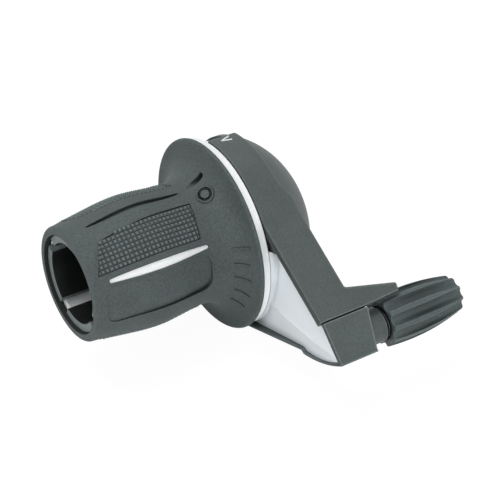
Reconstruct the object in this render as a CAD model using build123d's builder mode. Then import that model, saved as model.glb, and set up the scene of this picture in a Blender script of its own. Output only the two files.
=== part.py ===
from build123d import *
import os
from math import acos, atan2, cos, degrees, hypot, radians, sin, sqrt

# A twist grip shifter for the right-hand end of a handlebar.
# X is the bar's axis and points to the middle of the bike, -Y is the front of the bike.
# X = 0 is the back edge of the rubber flange.
# Angles round the bar start at the front (-Y) and rise towards +Z.

# Handlebar and the fixed sleeve that sits on it
bar_radius = 11.1
bar_clearance = 0.05
sleeve_wall = 1.75
sleeve_recess = 1.1
finger_lip = 0.6
finger_lip_length = 1.2
finger_slot_width = 3.5
finger_slot_length = 12.0
finger_slot_angle = 61.5
finger_count = 4

# Grip core: tube and white ribs
turning_clearance = 0.2
core_wall = 1.5
core_recess = 0.8
stripe_angles = (28.7, 208.7)
stripe_margin = 5.2
stripe_shift = 2.8
stripe_width = 2.3
stripe_end_width = 1.1
stripe_depth = 0.25

# Cable spool: indicator ring, number drum, cable groove and click notches
ring_step = 0.3
ring_width = 2.2
ring_gap = 0.2
drum_clearance = 0.4
drum_width = 4.0
drum_wall = 1.4
cable_groove_rise = 2.4
cable_groove_depth = 2.0
cable_groove_width = 3.0
notch_flange_width = 2.0
notch_radius = 1.0
notch_depth = 0.6
gear_count = 7
gear_step = 10.0
click_angle = 225.0

# Rubber grip
grip_end = -43.7
mouth_wall = 2.3
mouth_edge = 0.9
barrel_shift = 5.6
barrel_swell = 2.1
barrel_rise = 0.08
flare_start = -10.5
flare_swell = 1.2
flange_radius = 27.3
flange_rim = 0.8
groove_angles = (87.5, 267.5)
groove_margin = 6.2
groove_shift = 3.1
groove_width = 1.9
groove_end_width = 0.6
groove_depth = 0.9
pad_angles = (54.4, 120.6, 234.4, 300.6)
pad_setback = 2.4
pad_overrun = 1.1
pad_width = 10.2
pad_left_slant = 3.8
pad_right_slant = 1.8
pad_left_narrows = 1.6
pad_depth = 0.35
bare_angles = (5.2, 185.2)
bare_setback = 3.0
bare_overrun = 0.8
bare_width = 11.0
bare_corner = 3.0
bare_depth = 0.12
bare_fade_angle = 19.0
bare_tilt_angle = 3.2
slot_angle = 89.4
slot_inner_rise = 0.2
slot_length = 3.2
slot_width = 1.9
slot_floor = -1.6

# Top cover: a band round the ring that runs on into a flat arm
cover_radius = 27.0
cover_wall = 2.0
cover_edge_radius = 0.5
inboard_edge_radius = 1.4
spool_clearance = 0.5
band_top_angle = 99.0
band_widens_below = 4.5
band_wide_below = 11.5
arm_slope = 29.5
arm_step = 2.8
arm_blend = 12.0
arm_overhang = 2.8
arm_length = 43.0
seam_gap = 0.45
web_inset = 0.5
web_wall = 1.2
web_bite = 0.5
web_top_angle = 40.0
guard_wall = 1.2
guard_root_setback = 6.8
guard_tip_setback = 3.1
guard_length = 13.7
guard_tip_width = 2.6
guard_tip_lean = 0.65
guard_overhang = 0.1
guard_bevel = 0.7

# Housing: skirt, dome, arm floor, end block and neck
window_angle = 158.0
dome_length = 11.5
dome_end_wall = 1.4
dome_bulge_run = 6.8
dome_bulge_drop = 4.35
lip_length = 1.7
lip_wall = 1.6
lip_fit = 0.05
floor_slope = 18.5
floor_inset = 0.6
floor_wall = 1.2
skirt_overlap_angle = 12.0
inner_wall = 2.0
block_length = 6.0
jog_setback = 9.6
jog_run = 1.0
jog_drop = 0.9
belly_drop = 1.2
apex_reach = 11.92
apex_drop = 2.67
block_edge = 0.6
block_overhang = 2.3
block_foot_overhang = -0.2

# Silver side panel
panel_rim = 0.55
panel_end_rim = 1.4
panel_depth = 3.0
panel_fit = 0.1
panel_hub_inset = 1.2
panel_tip_inset = 0.6
panel_top_angle = 17.0
panel_low_angle = -56.0
ridge_hub_drop = 9.9
ridge_tip_rise = 0.6
ridge_fall = 1.1
ridge_rise = 0.8
ridge_foot = 8.5
panel_lip_step = 0.3
panel_lip_wall = 1.2

# Barrel adjuster
adjuster_reach = 3.784
adjuster_drop = 7.382
neck_radius = 4.8
neck_length = 4.2
stem_radius = 2.45
stem_clearance = 0.1
cable_hole_radius = 1.0
stem_gap = 0.6
spigot_radius = 3.4
spigot_length = 10.0
spigot_flat = 2.9
key_clearance = 0.12
click_wall = 1.0
click_length = 6.0
click_overhang = 0.4
spring_wire = 0.6
spring_wire_sides = 8
spring_turns = 3
knob_gap = 1.2
knob_length = 23.8
knob_foot_radius = 6.6
knob_radius = 7.0
knob_widest_run = 7.6
knob_tip_radius = 5.2
knob_tip_edge = 0.35
flute_count = 10
flute_radius = 1.5
flute_depth = 1.5
flute_tip_depth = 1.05
socket_radius = 3.05
socket_depth = 9.0

# Cable guide inside the end block
guide_bend = 6.5
guide_lead = 6.0
guide_radius = 2.0
guide_fit = 0.1

# Fasteners
clamp_angle = 250.0
clamp_run = 5.8
clamp_boss_radius = 4.6
clamp_boss_drop = 2.35
clamp_screw_radius = 2.5
clamp_screw_sink = 0.35
clamp_screw_hex = 2.5
clamp_screw_hex_depth = 2.6
screw_fit = 0.1
nut_width = 8.0
nut_thickness = 3.2
nut_lift = 2.1
nut_fit = 0.15
cover_screw_setback = 17.0
cover_screw_drop = 6.2
cover_screw_radius = 1.25
cover_screw_head = 2.7
cover_screw_head_height = 1.5
cover_screw_length = 5.0
cover_screw_cross = 3.0
cover_screw_cross_width = 0.75
cover_tab_width = 6.5
cover_tab_wall = 1.8

# Leaf spring
leaf_room = 3.35
leaf_thickness = 0.5
leaf_gap = 0.05
leaf_half_angle = 19.0
leaf_bump_angle = 4.5
leaf_bump_height = 1.7
leaf_seat_gap = 0.1
post_angle = 22.5
post_radius = 0.9

# Values that follow from the sizes above
bore_radius = bar_radius + bar_clearance
sleeve_radius = bore_radius + sleeve_wall
sleeve_end = grip_end + sleeve_recess
finger_radius = sleeve_radius + finger_lip
core_bore = sleeve_radius + turning_clearance
core_radius = core_bore + core_wall
core_mouth = finger_radius + turning_clearance
core_end = sleeve_end + core_recess
finger_shoulder = sleeve_end + finger_lip_length + turning_clearance
mouth_radius = core_mouth + mouth_wall
barrel_radius = mouth_radius + barrel_swell
flare_radius = mouth_radius + flare_swell
grip_run = flare_start - grip_end
grip_middle = (flare_start + grip_end) / 2
pad_left = grip_end + pad_setback
pad_right = flare_start + pad_overrun
bare_left = grip_end + bare_setback
bare_right = flare_start + bare_overrun
slot_middle = flare_radius + slot_inner_rise + slot_length / 2
cover_inside = cover_radius - cover_wall
cover_start = ring_width + ring_gap
lip_radius = cover_inside - lip_fit
ring_radius = cover_radius - ring_step
drum_radius = cover_inside - drum_clearance
drum_end = ring_width + drum_width
cable_groove_radius = core_radius + cable_groove_rise
groove_flange_radius = cable_groove_radius + cable_groove_depth
cable_groove_end = drum_end + cable_groove_width
cable_line = drum_end + cable_groove_width / 2
notch_flange_radius = lip_radius - lip_wall - leaf_room
spool_end = cable_groove_end + notch_flange_width
band_end = spool_end + spool_clearance
arm_level = cover_radius - arm_step
arm_inside = arm_level - cover_wall
arm_inner = band_end + arm_overhang
wall_face = arm_inner - inner_wall
guard_root = arm_length - guard_root_setback
guard_tip = arm_length - guard_tip_setback
guard_reach = arm_inner + guard_length
pocket_end = arm_length - block_length
block_seam = arm_length + seam_gap
block_top = block_seam + block_edge
block_inner_top = arm_inner + block_overhang
block_inner_foot = arm_inner + block_foot_overhang
guard_foot = block_inner_top + guard_overhang
floor_edge = cover_start + floor_inset
floor_level = cover_radius
floor_inside = floor_level - floor_wall
jog_start = arm_length - jog_setback
jog_end = jog_start + jog_run
dome_end = band_end + dome_length
dome_end_radius = sleeve_radius + dome_end_wall
panel_back = cover_start + panel_depth
panel_lip_radius = cover_radius - panel_lip_step
neck_end = block_inner_top + neck_length
stem_hole = stem_radius + stem_clearance
stem_start = cable_line + guide_bend + stem_gap
spigot_end = neck_end + spigot_length
click_bore = spigot_radius + key_clearance
click_radius = click_bore + click_wall
click_end = spigot_end + click_overhang
click_start = click_end - click_length
knob_bore = click_radius + turning_clearance
knob_start = neck_end + knob_gap
knob_end = knob_start + knob_length
knob_floor = click_end + key_clearance
socket_floor = knob_end - socket_depth
clamp_at = band_end + clamp_run
clamp_screw_start = bore_radius + screw_fit
clamp_boss_reach = lip_radius - clamp_boss_drop
clamp_screw_end = clamp_boss_reach - clamp_screw_sink
nut_seat = sleeve_radius + nut_lift
cover_screw_along = arm_length - cover_screw_setback
cover_screw_level = arm_inside - cover_screw_drop
leaf_tip = notch_flange_radius - notch_depth + leaf_gap + leaf_thickness / 2
leaf_seat = lip_radius - lip_wall - leaf_seat_gap - leaf_thickness / 2
far = 4 * flange_radius


def on_circle(angle, radius):
    """The (Y, Z) point at an angle round the bar's axis."""
    return (-radius * cos(radians(angle)), radius * sin(radians(angle)))


def on_arm(along, level):
    """The (Y, Z) point at a distance along the sloping arm and a level above the bar's axis."""
    slope = radians(arm_slope)
    return (-level * sin(slope) - along * cos(slope), level * cos(slope) - along * sin(slope))


def on_floor(along, level):
    """The (Y, Z) point at a distance along the arm's rising floor and a level below the axis."""
    slope = radians(floor_slope)
    return (-level * sin(slope) - along * cos(slope), -level * cos(slope) + along * sin(slope))


apex = on_arm(arm_length + apex_reach, arm_level - apex_drop)
adjuster = on_arm(arm_length + adjuster_reach, arm_level - adjuster_drop)


def arc_middle(center, radius, first, last):
    """The point half-way along the shorter arc about center from first to last."""
    y = first[0] + last[0] - 2 * center[0]
    z = first[1] + last[1] - 2 * center[1]
    return (center[0] + radius * y / hypot(y, z), center[1] + radius * z / hypot(y, z))


def across_bar(x):
    """The plane across the bar at x, with Y and Z as its own axes."""
    return Plane.YZ.offset(x)


def facing(angle, height=0):
    """A plane that faces out from the bar at an angle, with X as its first axis."""
    y, z = on_circle(angle, 1)
    return Plane(origin=(0, height * y, height * z), x_dir=(1, 0, 0), z_dir=(0, y, z))


def closed_face(*points, mode=Mode.ADD):
    """A face with straight sides, in the sketch that is open."""
    with BuildLine() as outline:
        Polyline(*points, close=True)
    make_face(outline.edges(), mode=mode)


def ring_sector(inner, outer, low, high):
    """A sector of a ring between two angles, in the sketch that is open."""
    middle = (low + high) / 2
    with BuildLine() as outline:
        ThreePointArc(on_circle(low, outer), on_circle(middle, outer), on_circle(high, outer))
        Line(on_circle(high, outer), on_circle(high, inner))
        ThreePointArc(on_circle(high, inner), on_circle(middle, inner), on_circle(low, inner))
        Line(on_circle(low, inner), on_circle(low, outer))
    make_face(outline.edges())


def lens(middle, length, width, end_width):
    """A slim lens along X with round ends, in the sketch that is open."""
    left = middle - length / 2
    right = middle + length / 2
    end = end_width / 2
    with BuildLine() as outline:
        ThreePointArc((left, end), (middle, width / 2), (right, end))
        ThreePointArc((right, end), (right + end, 0), (right, -end))
        ThreePointArc((right, -end), (middle, -width / 2), (left, -end))
        ThreePointArc((left, -end), (left - end, 0), (left, end))
    make_face(outline.edges())


def pad(side):
    """A grip pad's outline, with the long side that faces the groove on the given side."""
    half = side * pad_width / 2
    top_left = (pad_left + pad_left_slant, half - side * pad_left_narrows)
    top_right = (pad_right, half)
    with BuildLine() as outline:
        Polyline(top_left, (pad_left, -half), (pad_right - pad_right_slant, -half), top_right)
        ThreePointArc(top_right, ((pad_left + pad_right) / 2, half), top_left)
    make_face(outline.edges())


def bare_panel():
    """The outline of a bare panel, with a round lower corner at the flange end."""
    half = bare_width / 2
    with BuildLine() as outline:
        FilletPolyline(
            (bare_left, half),
            (bare_left, -half),
            (bare_right, -half),
            (bare_right, half),
            radius=bare_corner,
            close=True,
        )
    make_face(outline.edges())


def grip_side(inset):
    """The grip's swelling side and flared flange, moved in by inset, in the line that is open."""
    mouth = (grip_end + mouth_edge, mouth_radius - inset)
    waist = (flare_start, flare_radius - inset)
    rim = (-flange_rim, flange_radius - flange_rim - inset)
    swell = (grip_middle + barrel_shift, barrel_radius - inset)
    Spline(mouth, swell, waist, tangents=((1, barrel_rise), (1, 0)))
    Spline(waist, rim, tangents=((1, 0), (0, 1)))
    return mouth, rim


def grip_solid(inset):
    """The grip as a plain solid, moved in by inset all round."""
    with BuildPart() as solid:
        with BuildSketch():
            with BuildLine():
                mouth, rim = grip_side(inset)
                Polyline(rim, (rim[0], 0), (mouth[0], 0), mouth)
            make_face()
        revolve(axis=Axis.X)
    return solid.part


def sunk(angle, outline, floor):
    """The cutter that sinks an outline into the grip, down to a floor."""
    with BuildPart() as cutter:
        with BuildSketch(facing(angle)):
            outline()
        extrude(amount=flange_radius)
        add(floor, mode=Mode.SUBTRACT)
    return cutter.part


def stripe():
    """The outline of a white stripe."""
    lens(grip_middle + stripe_shift, grip_run - stripe_margin, stripe_width, stripe_end_width)


def groove():
    """The outline of a long groove between two pads."""
    lens(grip_middle + groove_shift, grip_run - groove_margin, groove_width, groove_end_width)


def stripe_rib(angle):
    """The white rib that fills a window in the rubber."""
    with BuildPart() as rib:
        with BuildSketch(facing(angle, core_bore + core_wall / 2)):
            stripe()
        extrude(amount=flange_radius)
        add(grip_solid(stripe_depth), mode=Mode.INTERSECT)
    return rib.part


def tilted_floor(angle):
    """The floor of a bare panel, which falls away from its upper edge and its open end."""
    radial = facing(angle + bare_fade_angle).z_dir
    return grip_solid(bare_depth).rotate(Axis((bare_left, 0, 0), radial), bare_tilt_angle)


# Grip core: a tube under the rubber, with the white ribs
ribs = [stripe_rib(angle) for angle in stripe_angles]
with BuildPart() as grip_core:
    with BuildSketch():
        closed_face(
            (core_end, core_mouth),
            (core_end, core_radius),
            (spool_end, core_radius),
            (spool_end, core_bore),
            (finger_shoulder, core_bore),
            (finger_shoulder, core_mouth),
        )
    revolve(axis=Axis.X)
    for rib in ribs:
        add(rib)
grip_core.part.label = "grip_core"

# Cable spool: indicator ring, number drum, cable groove and click notches, fixed on the core
with BuildPart() as cable_spool:
    with BuildSketch():
        closed_face(
            (0, core_radius),
            (0, ring_radius),
            (ring_width, ring_radius),
            (ring_width, drum_radius),
            (drum_end, drum_radius),
            (drum_end, drum_radius - drum_wall),
            (ring_width, drum_radius - drum_wall),
            (ring_width, groove_flange_radius),
            (drum_end, groove_flange_radius),
            (drum_end, cable_groove_radius),
            (cable_groove_end, cable_groove_radius),
            (cable_groove_end, notch_flange_radius),
            (spool_end, notch_flange_radius),
            (spool_end, core_radius),
        )
    revolve(axis=Axis.X)
    with BuildSketch(across_bar(cable_groove_end)):
        for gear in range(gear_count):
            center = notch_flange_radius - notch_depth + notch_radius
            with Locations(on_circle(click_angle + gear * gear_step, center)):
                Circle(notch_radius)
    extrude(amount=notch_flange_width, mode=Mode.SUBTRACT)
cable_spool.part.label = "cable_spool"

# Grip rubber: turned form with a flared flange, then pads, grooves and panels sunk into it
pad_floor = grip_solid(pad_depth)
groove_floor = grip_solid(groove_depth)
sunk_pads = [
    sunk(angle, lambda: pad(1 if index % 2 == 0 else -1), pad_floor)
    for index, angle in enumerate(pad_angles)
]
sunk_grooves = [sunk(angle, groove, groove_floor) for angle in groove_angles]
sunk_panels = [sunk(angle, bare_panel, tilted_floor(angle)) for angle in bare_angles]
with BuildPart() as grip_rubber:
    with BuildSketch():
        with BuildLine():
            mouth, rim = grip_side(0)
            Polyline(
                (0, flange_radius),
                (0, core_radius),
                (core_end, core_radius),
                (core_end, core_mouth),
                (grip_end, core_mouth),
                (grip_end, mouth_radius - mouth_edge),
            )
            RadiusArc((grip_end, mouth_radius - mouth_edge), mouth, mouth_edge)
            RadiusArc(rim, (0, flange_radius), flange_rim)
        make_face()
    revolve(axis=Axis.X)
    for cutter in sunk_pads + sunk_grooves + sunk_panels:
        add(cutter, mode=Mode.SUBTRACT)
    for angle in stripe_angles:
        with BuildSketch(facing(angle)):
            stripe()
        extrude(amount=flange_radius, mode=Mode.SUBTRACT)
    with BuildSketch(across_bar(slot_floor)):
        with Locations(on_circle(slot_angle, slot_middle)):
            SlotOverall(slot_length, slot_width, rotation=180 - slot_angle)
    extrude(amount=flare_start, mode=Mode.SUBTRACT)
grip_rubber.part.label = "grip_rubber"

# Top cover: its side view is one strip, band, hollow bend and flat arm, drawn across the bar
bend_along = sqrt((cover_radius + arm_blend) ** 2 - (arm_level + arm_blend) ** 2)
bend_center = on_arm(bend_along, arm_level + arm_blend)
bend_angle = degrees(atan2(bend_center[1], -bend_center[0]))
arm_normal = (0, -sin(radians(arm_slope)), cos(radians(arm_slope)))
arm_face = Plane(origin=(0, *on_arm(0, arm_level)), x_dir=(1, 0, 0), z_dir=arm_normal)


def cover_edge(radius, blend, level):
    """One long edge of the strip, from the band's top to the arm's end."""
    top = on_circle(band_top_angle, radius)
    bend_start = on_circle(bend_angle, radius)
    bend_end = on_arm(bend_along, level)
    end = on_arm(arm_length, level)
    middle = on_circle((band_top_angle + bend_angle) / 2, radius)
    ThreePointArc(top, middle, bend_start)
    ThreePointArc(bend_start, arc_middle(bend_center, blend, bend_start, bend_end), bend_end)
    Line(bend_end, end)
    return top, end


with BuildPart() as top_cover:
    with BuildSketch(across_bar(cover_start)):
        with BuildLine():
            top_out, end_out = cover_edge(cover_radius, arm_blend, arm_level)
            top_in, end_in = cover_edge(cover_inside, arm_blend + cover_wall, arm_inside)
            Line(top_out, top_in)
            Line(end_out, end_in)
        make_face()
    extrude(amount=arm_inner - cover_start)
    with BuildSketch(Plane.XZ):
        with BuildLine():
            band_foot = (band_end, cover_radius - band_widens_below)
            arm_head = (arm_inner, cover_radius - band_wide_below)
            Spline(band_foot, arm_head, tangents=((0, -1), (0, -1)))
            Polyline(arm_head, (far, arm_head[1]), (far, far), (band_end, far), band_foot)
        make_face()
    extrude(amount=far, both=True, mode=Mode.SUBTRACT)
    band_spot = on_circle((band_top_angle + bend_angle) / 2, cover_radius)
    bend_spot = arc_middle(
        bend_center, arm_blend, on_circle(bend_angle, cover_radius), on_arm(bend_along, arm_level)
    )
    arm_spot = on_arm((bend_along + arm_length) / 2, arm_level)
    soft_spots = (
        (cover_start, *band_spot),
        (cover_start, *bend_spot),
        (cover_start, *arm_spot),
    )
    fillet([top_cover.edges().sort_by_distance(spot)[0] for spot in soft_spots], cover_edge_radius)
    fillet(top_cover.edges().sort_by_distance((arm_inner, *arm_spot))[0], inboard_edge_radius)
    with BuildSketch(arm_face):
        closed_face(
            (arm_inner - cover_wall, -guard_root),
            (arm_inner, -guard_root),
            (guard_reach, -guard_tip),
            (guard_reach - guard_tip_lean, -guard_tip - guard_tip_width),
            (guard_foot, -arm_length),
            (arm_inner - cover_wall, -arm_length),
        )
    extrude(amount=-guard_wall)
    guard_middle = ((arm_inner + guard_reach) / 2, -(guard_root + guard_tip) / 2, 0)
    guard_edge = top_cover.edges().sort_by_distance(arm_face.from_local_coords(guard_middle))[0]
    chamfer(guard_edge, guard_bevel)
    with BuildSketch(arm_face):
        closed_face(
            (arm_inner - cover_wall, -guard_root - cover_wall),
            (guard_foot, -guard_root - cover_wall),
            (guard_foot, -arm_length),
            (arm_inner - cover_wall, -arm_length),
        )
    extrude(amount=-cover_wall)
    with BuildSketch(across_bar(cover_start + web_inset)):
        ring_sector(cover_inside + drum_clearance, far / 2, panel_top_angle, web_top_angle)
        closed_face(
            on_arm(-far, arm_inside + web_bite),
            on_arm(far, arm_inside + web_bite),
            on_arm(far, far),
            on_arm(-far, far),
            mode=Mode.SUBTRACT,
        )
    extrude(amount=web_wall)
    with BuildSketch(across_bar(wall_face - cover_tab_wall)):
        closed_face(
            on_arm(cover_screw_along - cover_tab_width / 2, arm_inside),
            on_arm(cover_screw_along + cover_tab_width / 2, arm_inside),
            on_arm(cover_screw_along + cover_tab_width / 2, cover_screw_level - cover_tab_width / 2),
            on_arm(cover_screw_along - cover_tab_width / 2, cover_screw_level - cover_tab_width / 2),
        )
    extrude(amount=cover_tab_wall)
    with BuildSketch(across_bar(wall_face - cover_tab_wall)):
        with Locations(on_arm(cover_screw_along, cover_screw_level)):
            Circle(cover_screw_radius + screw_fit)
    extrude(amount=cover_tab_wall, mode=Mode.SUBTRACT)
top_cover.part.label = "top_cover"

# Side panel: a thin plate in the arm's side with a low ridge, and a lip that follows the ring
block_corner = on_arm(block_top, arm_level)
face_run = hypot(apex[0] - block_corner[0], apex[1] - block_corner[1])
face_inward = (-(apex[1] - block_corner[1]) / face_run, (apex[0] - block_corner[0]) / face_run)


def panel_outline():
    """The side panel seen along the bar, in the sketch that is open."""
    top = arm_inside - panel_fit
    face_top = (
        block_corner[0] + panel_end_rim * face_inward[0],
        block_corner[1] + panel_end_rim * face_inward[1],
    )
    tip = (apex[0] + panel_end_rim / face_inward[0], apex[1])
    jog_low = on_floor(jog_end, floor_level + jog_drop - panel_rim)
    belly = on_floor(arm_length, floor_level + belly_drop - panel_rim)
    with BuildLine() as outline:
        Polyline(
            jog_low,
            on_floor(jog_start, floor_level - panel_rim),
            on_floor(0, floor_level - panel_rim),
            on_arm(0, 0),
            on_arm(0, top),
            on_arm(block_seam, top),
            face_top,
            tip,
        )
        ThreePointArc(tip, belly, jog_low)
    make_face(outline.edges())
    Circle(cover_inside + panel_fit, mode=Mode.SUBTRACT)
    closed_face(
        (0, 0),
        on_circle(panel_top_angle, far),
        on_circle(90, far),
        on_circle(90 + arm_slope, far),
        mode=Mode.SUBTRACT,
    )


def facet(corner, along, across):
    """The plane through three corners of a facet, facing away from the arm."""
    first = Vector(*along) - Vector(*corner)
    normal = first.cross(Vector(*across) - Vector(*corner))
    outward = normal if normal.X < 0 else normal * -1
    return Plane(origin=corner, x_dir=first, z_dir=outward)


ridge_hub = (cover_start + panel_hub_inset, -cover_radius, -ridge_hub_drop)
ridge_tip = (cover_start + panel_tip_inset, apex[0], apex[1] + ridge_tip_rise)
upper_hub = (ridge_hub[0] + ridge_rise, -cover_radius, 0)
lower_hub = (ridge_hub[0] + ridge_fall, -cover_radius, -ridge_hub_drop - ridge_foot)
with BuildPart() as side_panel:
    with BuildSketch(across_bar(cover_start)):
        panel_outline()
    extrude(amount=panel_back - cover_start)
    for plane in (facet(ridge_hub, ridge_tip, upper_hub), facet(ridge_hub, ridge_tip, lower_hub)):
        with BuildSketch(plane):
            Rectangle(far * 2, far * 2)
        extrude(amount=panel_back, mode=Mode.SUBTRACT)
    with BuildSketch(across_bar(cover_start)):
        ring_sector(
            panel_lip_radius - panel_lip_wall, panel_lip_radius, panel_low_angle, panel_top_angle
        )
    extrude(amount=panel_back - cover_start)
side_panel.part.label = "side_panel"

# Cable guide: a bent tube that takes the cable from the arm's line to the adjuster's axis
reach = hypot(*adjuster)
tangent_angle = degrees(acos(cable_groove_radius / reach)) + degrees(atan2(adjuster[1], -adjuster[0]))
cable_leaves = on_circle(tangent_angle, cable_groove_radius)
cable_run = Vector(0, adjuster[0] - cable_leaves[0], adjuster[1] - cable_leaves[1]).normalized()
guide_plane = Plane(
    origin=(cable_line, *adjuster),
    x_dir=cable_run,
    z_dir=cable_run.cross(Vector(1, 0, 0)),
)
with BuildLine(guide_plane) as guide_path:
    Line((-guide_bend - guide_lead, 0), (-guide_bend, 0))
    ThreePointArc(
        (-guide_bend, 0),
        arc_middle((-guide_bend, guide_bend), guide_bend, (-guide_bend, 0), (0, guide_bend)),
        (0, guide_bend),
    )
guide_wire = guide_path.wires()[0]
guide_mouth = Plane(origin=guide_wire @ 0, z_dir=guide_wire % 0)
with BuildPart() as cable_guide:
    with BuildSketch(guide_mouth):
        Circle(guide_radius)
        Circle(cable_hole_radius, mode=Mode.SUBTRACT)
    sweep(path=guide_wire)
cable_guide.part.label = "cable_guide"


# Housing body
def arm_outline():
    """The arm's side view below the cover, with its belly and end block, in the open sketch."""
    jog_low = on_floor(jog_end, floor_level + jog_drop)
    with BuildLine() as outline:
        Polyline(
            jog_low,
            on_floor(jog_start, floor_level),
            on_floor(0, floor_level),
            on_arm(0, arm_inside),
            on_arm(block_seam, arm_inside),
            on_arm(block_seam, arm_level),
            block_corner,
            apex,
        )
        ThreePointArc(apex, on_floor(arm_length, floor_level + belly_drop), jog_low)
    make_face(outline.edges())


with BuildPart() as end_block:
    with BuildSketch(across_bar(wall_face)):
        arm_outline()
        closed_face(
            on_arm(-far, far),
            on_arm(pocket_end, far),
            on_arm(pocket_end, -far),
            on_arm(-far, -far),
            mode=Mode.SUBTRACT,
        )
    extrude(amount=block_inner_top - wall_face)
    side_lean = (block_inner_top - block_inner_foot) / (block_corner[1] - apex[1])
    with BuildSketch(Plane.XZ):
        closed_face(
            (block_inner_top, block_corner[1]),
            (block_inner_foot - side_lean * arm_level, apex[1] - arm_level),
            (far, apex[1] - arm_level),
            (far, block_corner[1]),
        )
    extrude(amount=far, both=True, mode=Mode.SUBTRACT)

skirt_end_angle = 270 + floor_slope + skirt_overlap_angle
with BuildPart() as housing_body:
    with BuildSketch(across_bar(floor_edge)):
        arm_outline()
    extrude(amount=arm_inner - floor_edge)
    with BuildSketch(across_bar(floor_edge)):
        closed_face(
            on_arm(0, far),
            on_arm(pocket_end, far),
            on_arm(pocket_end, -far),
            on_arm(0, -far),
        )
        closed_face(
            on_floor(-far, floor_inside),
            on_floor(far, floor_inside),
            on_floor(far, far),
            on_floor(-far, far),
            mode=Mode.SUBTRACT,
        )
    extrude(amount=wall_face - floor_edge, mode=Mode.SUBTRACT)
    with BuildSketch(across_bar(cover_start)):
        ring_sector(cover_inside, cover_radius, window_angle, skirt_end_angle)
    extrude(amount=band_end - cover_start)
    with BuildSketch(across_bar(cover_start)):
        panel_outline()
        offset(amount=panel_fit)
    extrude(amount=panel_back - cover_start, mode=Mode.SUBTRACT)
    with BuildSketch(across_bar(0)):
        Circle(cover_inside)
    extrude(amount=band_end - lip_length, mode=Mode.SUBTRACT)
    add(end_block.part)
    with BuildSketch():
        with BuildLine():
            Polyline(
                (dome_end, dome_end_radius),
                (dome_end, sleeve_radius),
                (band_end, sleeve_radius),
                (band_end, lip_radius - lip_wall),
                (band_end - lip_length, lip_radius - lip_wall),
                (band_end - lip_length, lip_radius),
                (band_end, lip_radius),
            )
            ThreePointArc(
                (band_end, lip_radius),
                (band_end + dome_bulge_run, lip_radius - dome_bulge_drop),
                (dome_end, dome_end_radius),
            )
        make_face()
    revolve(axis=Axis.X)
    with BuildSketch(across_bar(band_end - lip_length)):
        ring_sector(lip_radius - lip_wall, cover_radius, window_angle, skirt_end_angle)
    extrude(amount=lip_length)
    with BuildSketch(across_bar(cable_groove_end)):
        for side in (-1, 1):
            with Locations(on_circle(click_angle + side * post_angle, leaf_seat)):
                Circle(post_radius)
    extrude(amount=band_end - cable_groove_end)
    with BuildSketch(facing(clamp_angle, sleeve_radius)):
        with Locations((clamp_at, 0)):
            Circle(clamp_boss_radius)
    extrude(amount=clamp_boss_reach - sleeve_radius)
    with BuildSketch(facing(clamp_angle)):
        with Locations((clamp_at, 0)):
            Circle(clamp_screw_radius + screw_fit)
    extrude(amount=far, mode=Mode.SUBTRACT)
    nut_room = nut_width + 2 * nut_fit
    with BuildSketch(facing(clamp_angle, nut_seat - nut_fit)):
        with Locations((clamp_at - nut_room / 2, 0)):
            Rectangle(far, nut_room, align=(Align.MIN, Align.CENTER))
    extrude(amount=nut_thickness + 2 * nut_fit, mode=Mode.SUBTRACT)
    with BuildSketch(across_bar(wall_face)):
        with Locations(on_arm(cover_screw_along, cover_screw_level)):
            Circle(cover_screw_radius + screw_fit)
    extrude(amount=inner_wall, mode=Mode.SUBTRACT)
    with BuildSketch(across_bar(wall_face)):
        with Locations(adjuster):
            Circle(neck_radius)
    extrude(amount=neck_end - wall_face)
    with BuildSketch(across_bar(neck_end)):
        with Locations(adjuster):
            Circle(spigot_radius)
            Rectangle(2 * spigot_flat, 2 * spigot_radius, mode=Mode.INTERSECT)
    extrude(amount=spigot_length)
    with BuildSketch(across_bar(cable_line + guide_bend)):
        with Locations(adjuster):
            Circle(stem_hole)
    extrude(amount=far, mode=Mode.SUBTRACT)
    with BuildSketch(guide_mouth):
        Circle(guide_radius + guide_fit)
    sweep(path=guide_wire, mode=Mode.SUBTRACT)
    with BuildSketch(across_bar(0)):
        Circle(sleeve_radius)
    extrude(amount=dome_end, mode=Mode.SUBTRACT)
housing_body.part.label = "housing_body"

# Bar sleeve: the tube on the handlebar, with four spring fingers that keep the grip on it
with BuildPart() as bar_sleeve:
    with BuildSketch():
        closed_face(
            (dome_end, bore_radius),
            (sleeve_end, bore_radius),
            (sleeve_end, finger_radius),
            (sleeve_end + finger_lip_length, finger_radius),
            (sleeve_end + finger_lip_length, sleeve_radius),
            (dome_end, sleeve_radius),
        )
    revolve(axis=Axis.X)
    for finger in range(finger_count):
        turn = finger_slot_angle + finger * 360 / finger_count
        with BuildSketch(facing(turn)):
            with Locations((sleeve_end, 0)):
                Rectangle(2 * finger_slot_length, finger_slot_width)
        extrude(amount=core_radius, mode=Mode.SUBTRACT)
    with BuildSketch(facing(clamp_angle)):
        with Locations((clamp_at, 0)):
            Circle(clamp_screw_radius + screw_fit)
    extrude(amount=core_radius, mode=Mode.SUBTRACT)
bar_sleeve.part.label = "bar_sleeve"

# Leaf spring: a bowed strip whose bump sits in a click notch
leaf_points = [
    on_circle(click_angle + span, radius)
    for span, radius in (
        (-leaf_half_angle, leaf_seat),
        (-leaf_bump_angle, leaf_tip + leaf_bump_height),
        (0, leaf_tip),
        (leaf_bump_angle, leaf_tip + leaf_bump_height),
        (leaf_half_angle, leaf_seat),
    )
]
with BuildPart() as detent_spring:
    with BuildSketch(across_bar(cable_groove_end)):
        with BuildLine():
            FilletPolyline(*leaf_points, radius=leaf_thickness)
        trace(line_width=leaf_thickness)
    extrude(amount=notch_flange_width)
detent_spring.part.label = "detent_spring"

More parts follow.
